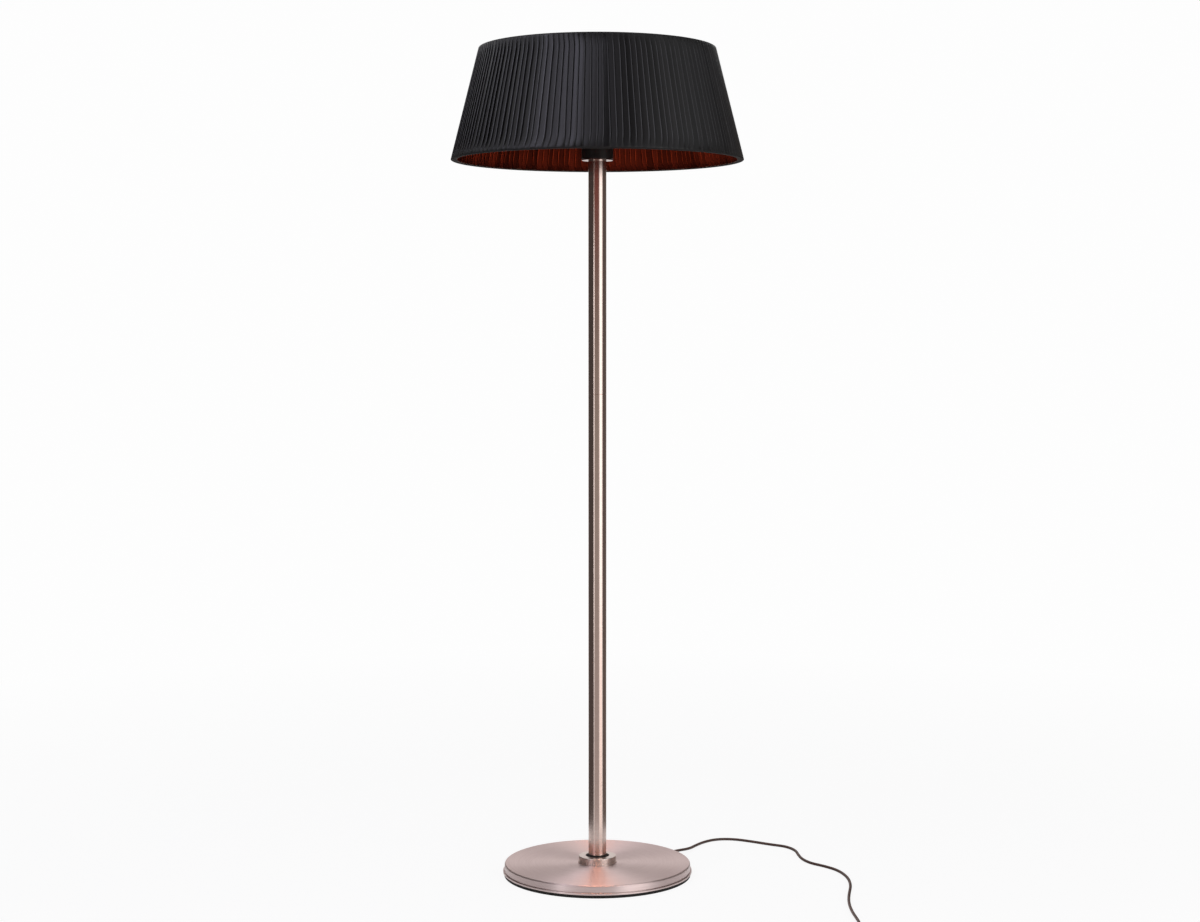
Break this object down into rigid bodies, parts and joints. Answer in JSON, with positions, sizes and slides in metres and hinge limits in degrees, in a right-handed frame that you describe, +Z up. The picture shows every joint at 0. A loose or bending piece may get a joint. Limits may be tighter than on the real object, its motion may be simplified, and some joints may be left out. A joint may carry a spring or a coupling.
{
  "type": "infrared patio heater",
  "caption": "Standing lamp-shaped electric infrared heater: round weighted base, slim pole, pleated conical shade over a ring heater, mains lead with plug.",
  "frame": {"origin": "on the floor under the middle of the round base", "axes": "+Z up along the pole, +Y to the back where the lead leaves the base, +X to the right"},
  "size_m": [0.8956, 0.932, 1.735],
  "materials": {
    "brushed_steel": "brushed",
    "cast_iron": "as cast, painted",
    "black_rubber": "matt",
    "zinc_steel": "zinc plated",
    "black_hub": "black powder coat",
    "pan_paint": "black heat-proof paint",
    "reflector_alu": "polished",
    "quartz": "clear, glowing red",
    "glow_wire": "glowing",
    "ceramic": "unglazed ceramic",
    "guard_paint": "black heat-proof paint",
    "ribbon": "woven ribbon",
    "inner_ribbon": "woven ribbon, lit red",
    "lining_board": "matt",
    "frame_wire": "black paint",
    "cord_rubber": "smooth",
    "plug_rubber": "moulded",
    "pin_brass": "nickelled brass",
    "switch_plastic": "moulded",
    "rocker_plastic": "moulded",
    "chrome_washer": "bright",
    "spring_steel": "bright drawn",
    "wire_sleeve": "glass-fibre sleeve"
  },
  "bodies": {
    "stand": {"base_cover": "brushed_steel", "base_weight": "cast_iron", "floor_pad": "black_rubber", "foot_bolts": "zinc_steel", "foot_washers": "zinc_steel", "foot_flange": "zinc_steel", "foot_set_screws": "zinc_steel", "base_collar": "brushed_steel", "collar_gasket": "black_rubber", "tip_switch_body": "switch_plastic", "tip_switch_spring": "spring_steel", "supply_lead": "cord_rubber", "tip_switch_lead": "cord_rubber", "lower_pole": "brushed_steel", "upper_pole": "brushed_steel", "joiner_socket": "zinc_steel", "joiner_plug": "zinc_steel", "pole_washer": "chrome_washer", "hub": "black_hub", "hub_set_screws": "zinc_steel", "switch_body": "switch_plastic", "terminal_block": "ceramic", "heater_pan": "pan_paint", "pan_screws": "zinc_steel", "reflector": "reflector_alu", "reflector_spacers": "zinc_steel", "reflector_screws": "zinc_steel", "quartz_tubes": "quartz", "heating_wires": "glow_wire", "tube_end_caps": "ceramic", "tube_clips": "spring_steel", "guard_grille": "guard_paint", "guard_screws": "zinc_steel", "thermal_cutout": "ceramic", "heater_leads": "wire_sleeve", "shade_ribbon": "ribbon", "shade_lining": "lining_board", "shade_inner_run": "inner_ribbon", "shade_bottom_ring": "frame_wire", "shade_top_ring": "frame_wire", "shade_struts": "frame_wire", "shade_spider": "frame_wire", "shade_stem": "zinc_steel", "stem_nuts": "zinc_steel", "finial_nut": "zinc_steel", "cord_gland": "black_rubber", "cord_run": "cord_rubber", "cord_coil": "cord_rubber", "cord_tie": "black_rubber", "cord_tail": "cord_rubber", "plug_body": "plug_rubber", "plug_pins": "pin_brass"},
    "rocker": {"switch_rocker": "rocker_plastic"},
    "tip_plunger": {"tip_switch_plunger": "switch_plastic"}
  },
  "joints": [
    {"name": "power_rocker", "type": "hinge", "parent": "stand", "child": "rocker", "pos_m": [0, 0.0304, 1.5495], "axis": [1, 0, 0], "range_deg": [0, 16]},
    {"name": "tip_over_plunger", "type": "slide", "parent": "stand", "child": "tip_plunger", "axis": [0, 0, -1], "range_m": [0, 0.005], "stiffness_N_per_m": 150, "springref_m": 0.01, "deforming": ["tip_switch_spring"]}
  ]
}
